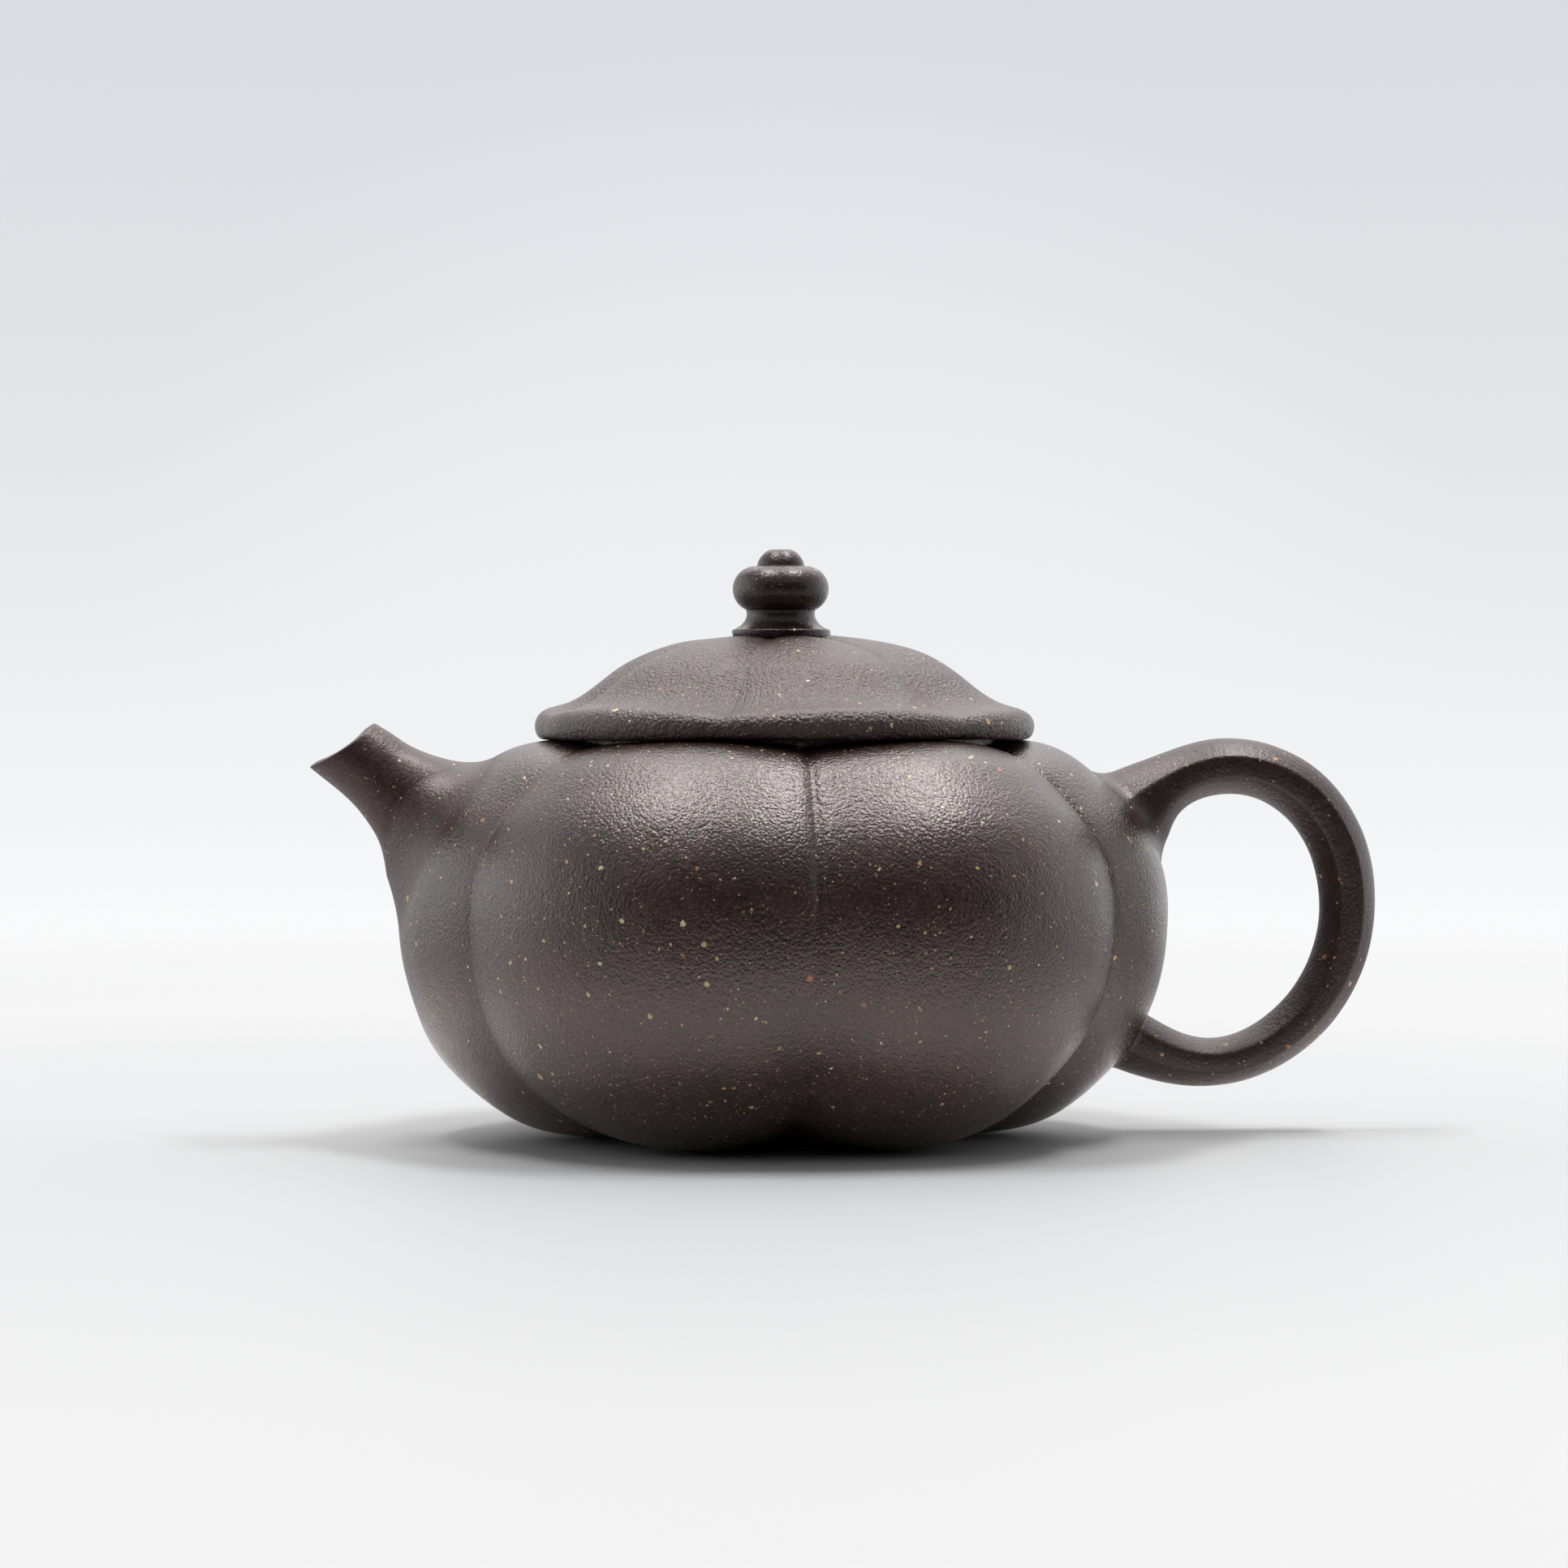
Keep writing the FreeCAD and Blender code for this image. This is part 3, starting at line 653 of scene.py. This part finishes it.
def build_wall():
    nearest = slice(0, 300)             # samples of the outline over the shoulder
    rim = np.interp(COLLAR_R, pot_surface.sample_points[nearest, 0],
                    pot_surface.samples[nearest])
    shares = rim + (1 - rim) * np.linspace(0, 1, int(160 * FINE))
    dome = RECESS_DEPTH * (1 - (BASE_RADII / RECESS_R) ** 2)
    under = np.where(BASE_RADII > RECESS_R, 0.0, np.maximum(dome, RECESS_STEP))
    inside = WALL + np.maximum(dome, 0.0)
    outer = np.concatenate([pot_surface.points(shares, AROUND), circles(zip(BASE_RADII, under))])
    inner = np.concatenate([pot_surface.points(shares, AROUND, WALL),
                            circles(zip(BASE_RADII, inside))])
    centres = [[0, 0, RECESS_DEPTH], [0, 0, WALL + RECESS_DEPTH]]
    points = np.concatenate([outer.reshape(-1, 3), inner.reshape(-1, 3), centres])

    rows, columns = outer.shape[:2]
    outside, within = np.arange(2 * rows * columns).reshape(2, rows, columns).tolist()
    hole = spout_hole(outer)
    faces = []
    for skin in (outside, within):
        for j in range(rows - 1):
            for i in np.nonzero(~hole[j])[0]:
                ni = (i + 1) % columns
                faces.append([skin[j][i], skin[j][ni], skin[j + 1][ni], skin[j + 1][i]])

    def bridge(a, b):
        """The quad between both skins along the edge from a to b, each (row, column)."""
        (ja, ia), (jb, ib) = a, b
        faces.append([outside[ja][ia], outside[jb][ib], within[jb][ib], within[ja][ia]])

    for j, i in zip(*np.nonzero(hole)):
        ni = (i + 1) % columns
        edges = [((j, i), (j, ni), (j - 1, i)), ((j + 1, i), (j + 1, ni), (j + 1, i)),
                 ((j, i), (j + 1, i), (j, i - 1)), ((j, ni), (j + 1, ni), (j, ni))]
        for a, b, beyond in edges:
            if not hole[beyond]:
                bridge(a, b)
    for i in range(columns):
        ni = (i + 1) % columns
        faces.append([outside[-1][i], outside[-1][ni], len(points) - 2])
        faces.append([within[-1][i], within[-1][ni], len(points) - 1])
        bridge((0, i), (0, ni))
    piece("pot_wall", "pot", ["body_wall", "shoulder_disc", "base_disc"],
          points, faces, pot_clay)


# ---- roots that flow into the wall --------------------------------------------------------------
FILLET_LIFT, FILLET_SINK = 0.012, 0.002     # above the wall at a fillet's top, under it at its foot
SKIRT_REACH, SKIRT_DEPTH = 0.35, 0.12       # the ring just past the foot, under the wall
PLUG_DEPTH = 0.9                            # the last ring, hidden in the wall


def crossing(distance, t, level, backwards=False):
    """For each column, the t where distance first falls below level, from the open end."""
    if backwards:
        distance, t = distance[::-1], t[::-1]
    j = (distance < level).argmax(0)
    i = np.arange(distance.shape[1])
    a, b = distance[j - 1, i], distance[j, i]
    share = (a - level) / np.maximum(a - b, 1e-9)
    return t[j - 1, i] + share * (t[j, i] - t[j - 1, i])


def fillet(top, root, shortest, longest, steps):
    """Rings from top, on the skin, smoothly onto the pot's wall round root and just under it."""
    normal = pot_surface.outward(root)
    away = root - root.mean(0)
    away = unit(away - normal * (away * normal).sum(-1, keepdims=True))
    reach = np.clip(0.9 * np.linalg.norm(top - root, axis=-1), shortest, longest)[:, None]
    foot = pot_surface.settle(root + away * reach)
    rings = []
    for t in np.arange(1, steps + 1) / steps:
        ring = arc(top, root, foot, t)
        lift = FILLET_LIFT * (1 - t) - FILLET_SINK
        too_low = pot_surface.distance(ring) < lift
        rings.append(np.where(too_low[:, None], pot_surface.settle(ring, lift), ring))
    rings.append(pot_surface.settle(foot + away * SKIRT_REACH, -SKIRT_DEPTH))
    rings.append(pot_surface.settle(root + away * reach * 0.5, -PLUG_DEPTH))
    return rings


def between(skin_at, first, last, count):
    """Rings of a skin from distances first to distances last."""
    return [skin_at(first + (last - first) * share) for share in np.linspace(0, 1, count)]


def build_spout():
    turns = np.linspace(0, 2 * math.pi, int(128 * FINE), endpoint=False)

    def skin_at(t):
        return spout_skin(t, turns)

    def bore_at(t):
        return spout_skin(t, turns, SPOUT_WALL, SPOUT_BORE_R)

    walk = np.linspace(0, spout_low.length, 260)[:, None] + 0 * turns
    heights = pot_surface.distance(skin_at(walk))
    side = np.abs(np.sin(turns))
    upper = (1 + np.cos(turns)) / 2     # 1 along the spout's top, 0 along its underside
    root_t = crossing(heights, walk, 0.0)
    high_t = crossing(heights, walk, 1.9 - 0.9 * upper + 3.4 * side**1.5)
    mouth_t = spout_low.x[1] + LIP_RISE + MOUTH_SAG * np.sin(turns) ** 2
    bore_end = crossing(pot_surface.distance(bore_at(walk)), walk, 0.2 - WALL)

    rings = between(skin_at, mouth_t, high_t, int(70 * FINE))
    rings += fillet(skin_at(high_t), skin_at(root_t), 3.0 + 0.5 * upper, 6.5, 14)
    rings += between(bore_at, bore_end, mouth_t, int(60 * FINE))
    lip_out, lip_in = rings[0], rings[-1]
    ahead = unit(skin_at(mouth_t - 0.5) - lip_out)
    for swing in np.linspace(math.pi, 0, 10)[1:-1]:
        across = np.sign(math.cos(swing)) * abs(math.cos(swing)) ** 0.5
        up = abs(math.sin(swing)) ** 0.6
        rings.append((lip_out + lip_in) / 2 + (lip_out - lip_in) / 2 * across
                     + ahead * LIP_RISE * up)
    piece("spout", "pot", ["spout"], np.concatenate(rings),
          grid_faces(len(rings), len(turns), wrap_rows=True), spout_clay)


def build_handle():
    columns = len(handle_section)
    walk = np.linspace(0, handle_back.length, 340)[:, None] + np.zeros(columns)
    heights = pot_surface.distance(handle_skin(walk))
    half_way = len(walk) // 2
    top_part, low_part = slice(None, half_way), slice(half_way, None)
    first_high, first_root = (crossing(heights[top_part], walk[top_part], level, backwards=True)
                              for level in (2.6, 0.0))
    last_high, last_root = (crossing(heights[low_part], walk[low_part], level)
                            for level in (0.9, 0.0))
    top_root, low_root = handle_skin(first_root), handle_skin(last_root)
    rings = (fillet(handle_skin(first_high), top_root, 2.4, 6.0, 14)[::-1]
             + between(handle_skin, first_high, last_high, int(220 * FINE))
             + fillet(handle_skin(last_high), low_root, 0.5, 1.6, 8))
    ends = [pot_surface.settle(root.mean(0)[None, :], -PLUG_DEPTH - 0.2)
            for root in (top_root, low_root)]
    points = np.concatenate(rings + ends)
    faces = grid_faces(len(rings), columns)
    last = (len(rings) - 1) * columns
    for i in range(columns):
        ni = (i + 1) % columns
        faces.append([i, ni, len(points) - 2])
        faces.append([last + i, last + ni, len(points) - 1])
    piece("handle", "pot", ["handle"], points, faces, handle_clay)


# ---- the lid and the knob -----------------------------------------------------------------------
def build_lid():
    top = lid_surface.points(np.linspace(0, 1, int(110 * FINE)), AROUND + LID_TURN)
    under = [(r, LID_BOTTOM) for r in (28.5, 26.5, 24.5, 23.0, HOLLOW_R + 0.1)]
    hollow = [(HOLLOW_R, LID_BOTTOM + 0.1), (HOLLOW_R, 53.0), (HOLLOW_R, 55.4)]
    ceiling = Curve(LID_CEILING).steps(18)
    rings = np.concatenate([top, circles(under + hollow + ceiling + LID_CROWN, LID_TURN)])
    piece("lid_shell", "lid", ["lid_disc", "lid_edge_ring"], rings,
          grid_faces(len(rings), len(AROUND), wrap_rows=True), lid_clay, waves=LID_WAVES)
    flange_end = SEAT_Z - FLANGE_DEPTH
    turned("lid_flange_ring", "lid", ["lid_flange"],
           rounded([(HOLLOW_R, flange_end, 0.5), (FLANGE_R, flange_end, 0.6),
                    (FLANGE_R, LID_BOTTOM, 0.05), (HOLLOW_R, LID_BOTTOM, 0.05)]),
           lid_clay, around=256, waves=RING_WAVES)


def build_knob():
    neck = ([(VENT_R, 67.9), (3.6, 67.9)] + Curve(KNOB_NECK).steps(24)
            + Curve(KNOB_FOOT).steps(9) + [(6.0, 63.9), (VENT_R, 63.9)])
    middle = KNOB_BEAD_R - KNOB_BEAD_ROUND
    bead = [(middle + KNOB_BEAD_ROUND * math.cos(a), KNOB_BEAD_Z + KNOB_BEAD_ROUND * math.sin(a))
            for a in np.linspace(KNOB_BEAD_FROM, KNOB_BEAD_TO, 48)]
    bead = [(VENT_R, bead[-1][1]), (VENT_R, bead[0][1])] + bead
    tip = [(VENT_R, 73.1), (3.3, 73.1)] + Curve(KNOB_TIP).steps(32)
    for node, profile in (("knob_neck", neck), ("knob_bead", bead), ("knob_tip", tip)):
        turned(node, "lid", [node], profile, knob_clay)


build_wall()
turned("mouth_collar", "pot", ["mouth_ring"],
       rounded([(MOUTH_R, COLLAR_Z, 0.5), (COLLAR_R, COLLAR_Z, 0.4), (COLLAR_R, SEAT_Z, 0.06),
                (MOUTH_R, SEAT_Z, 0.6)]), pot_clay, around=256, waves=RING_WAVES)
build_spout()
build_handle()
build_lid()
build_knob()
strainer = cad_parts["strainer"].data      # the CAD's own mesh, with its pierced holes
strainer.materials.clear()
strainer.materials.append(pot_clay)

# ---- floor, light and camera, in metres ---------------------------------------------------------
FLOOR_RADII, FLOOR_POINTS = (0.3, 1.0, 2.7), 96
FLOOR_DROP = 0.00006                    # keeps it clear of the pot's foot
# The floor as the camera sees it is painted darker near the pot than far off: painted shade round
# the pot.
FLOOR_NEAR_SHADED = (0.475, 0.490, 0.503), (0.508, 0.523, 0.536)
FLOOR_FAR = (0.550, 0.562, 0.573)
# The floor's colour for every ray but the camera's: painted bounce light near the pot, brighter
# than the floor looks, and painted shade farther off, darker than it looks.
BOUNCE_NEAR, BOUNCE_FAR = (0.78, 0.76, 0.755), (0.30, 0.295, 0.295)
SWEEP_LOW, SWEEP_HIGH = (0.945, 0.948, 0.957), (0.715, 0.740, 0.775)
CAMERA_WAY = (0.094, 0.995, 0.0)
WALLS, CEILING, GROUND = (0.77, 0.757, 0.760), (0.45, 0.44, 0.445), (0.72, 0.725, 0.74)
LAMPS = [               # direction, agreement where it starts and where it is full, colour
    ((0.12, 0.55, 0.82), 0.72, 0.98, (2.25, 2.19, 2.16)),
    ((0.75, 0.66, 0.05), 0.80, 0.98, (1.2, 1.2, 1.2)),
    ((-0.9, 0.43, 0.05), 0.78, 0.98, (1.3, 1.3, 1.3)),
]
DARK_WAY, DARK_ROOM = (0.02, -0.985, 0.09), (0.024, 0.020, 0.019)
SOFTBOX_COLOUR = (1.0, 0.985, 0.97)
SOFTBOX_AIM = (0, 0, 0.04)
SOFTBOXES = [           # name, place, width, depth, watts
    ("softbox_left", (-0.27, 0.05, 1.0), 0.40, 0.12, 4.1),
    ("softbox_right", (0.30, 0.05, 1.0), 0.40, 0.13, 4.6),
]
CAMERA_TURN, LOOK_DOWN = math.radians(5.4), math.radians(0.98)
CAMERA_FAR, CAMERA_HEIGHT = 0.5775, 0.0553
SENSOR_WIDTH = 36
FOCAL_PER_WIDTH = 5500 / 1932           # focal length in pixels, by the photo's width


def build_floor():
    material = bpy.data.materials.new("pale_floor")
    n = Nodes(material)
    place = n.add("TexCoord")["Object"]
    far = n.vector("LENGTH", place)["Value"]
    tone = n.mix(n.noise(place, 9.0, 3.0), *FLOOR_NEAR_SHADED)
    # Painted shade: darker within 0.11 m of the pot, lightening to the far tone by 0.28 m.
    tone = n.mix(n.ramp(far, 0.11, 0.28), tone, FLOOR_FAR)
    # Painted bounce light and shade: what the pot reflects and is lit by, not what the camera sees.
    bounced = n.mix(n.ramp(far, 0.06, 0.16), BOUNCE_NEAR, BOUNCE_FAR)
    tone = n.mix(n.add("LightPath")["Is Camera Ray"], bounced, tone)
    surface = n.add("BsdfPrincipled", Base_Color=tone, Roughness=0.55, Specular_IOR_Level=0.3)[0]
    clear = n.add("BsdfTransparent")[0]
    faded = n.listed("MixShader", (n.ramp(far, 0.20, 0.55), surface, clear))[0]
    n.add("OutputMaterial", Surface=faded)

    mesh = bpy.data.meshes.new("floor")
    angles = np.linspace(0, 2 * math.pi, FLOOR_POINTS, endpoint=False)
    rings = [(r * math.cos(a), r * math.sin(a), 0) for r in FLOOR_RADII for a in angles]
    middle = [[0, 1 + i, 1 + (i + 1) % FLOOR_POINTS] for i in range(FLOOR_POINTS)]
    mesh.from_pydata([(0, 0, 0)] + rings, [],
                     middle + grid_faces(len(FLOOR_RADII), FLOOR_POINTS, first=1))
    mesh.materials.append(material)
    floor_object = bpy.data.objects.new("floor", mesh)
    floor_object.location.z = -FLOOR_DROP
    bpy.context.scene.collection.objects.link(floor_object)


def build_world():
    world = bpy.data.worlds.new("studio")
    bpy.context.scene.world = world
    n = Nodes(world)
    direction = n.add("TexCoord")["Generated"]
    height = n.add("SeparateXYZ", Vector=direction)["Z"]

    # Behind the pot: a pale sweep, darker toward the top and a little toward the sides.
    climb = n.maths("MULTIPLY_ADD", height, 5.0, 0.225, clamp=True)
    sweep = n.mix(n.maths("POWER", climb, 0.7), SWEEP_LOW, SWEEP_HIGH)
    centre = n.ramp(n.agreement(direction, CAMERA_WAY), 0.9865, 1.0, 0.965, 1.035)
    above = n.ramp(height, -0.02, 0.06)
    centre = n.maths("ADD", 1.0, n.maths("MULTIPLY", n.maths("SUBTRACT", centre, 1.0), above))
    seen = n.add("VectorMath", {"operation": "SCALE"}, Vector=sweep, Scale=centre)[0]

    # What the pot reflects: walls, ceiling, lamps, and the dark room round the camera.
    front = n.ramp(n.agreement(direction, DARK_WAY), 0.14, 0.74)
    lit = n.mix(front, WALLS, DARK_ROOM)
    lit = n.mix(n.ramp(height, 0.30, 0.9), lit, CEILING)
    for way, low, high, colour in LAMPS:
        lit = n.mix(n.ramp(n.agreement(direction, way), low, high), lit, colour)
    lit = n.mix(n.ramp(height, -0.06, -0.40), lit, GROUND)
    shown = n.mix(n.add("LightPath")["Is Camera Ray"], lit, seen)
    n.add("OutputWorld", Surface=n.add("Background", Color=shown, Strength=1.0)[0])


def softbox(name, place, width, depth, watts):
    light = bpy.data.lights.new(name, "AREA")
    light.shape, light.size, light.size_y, light.energy = "RECTANGLE", width, depth, watts
    light.color = SOFTBOX_COLOUR
    made = bpy.data.objects.new(name, light)
    made.location = place
    bpy.context.scene.collection.objects.link(made)
    aim = Vector(SOFTBOX_AIM) - Vector(place)
    made.rotation_euler = aim.to_track_quat("-Z", "Y").to_euler()


def place_camera():
    camera = bpy.data.cameras.new("camera")
    camera.sensor_width = SENSOR_WIDTH
    camera.lens = SENSOR_WIDTH * FOCAL_PER_WIDTH
    camera.clip_end = 20
    camera.dof.use_dof = False
    viewer = bpy.data.objects.new("camera", camera)
    viewer.location = (-math.sin(CAMERA_TURN) * CAMERA_FAR, -math.cos(CAMERA_TURN) * CAMERA_FAR,
                       CAMERA_HEIGHT)
    viewer.rotation_euler = (math.pi / 2 - LOOK_DOWN, 0, -CAMERA_TURN)
    bpy.context.scene.collection.objects.link(viewer)
    bpy.context.scene.camera = viewer


build_floor()
build_world()
for box in SOFTBOXES:
    softbox(*box)
place_camera()
bpy.context.scene.view_settings.view_transform = "Standard"
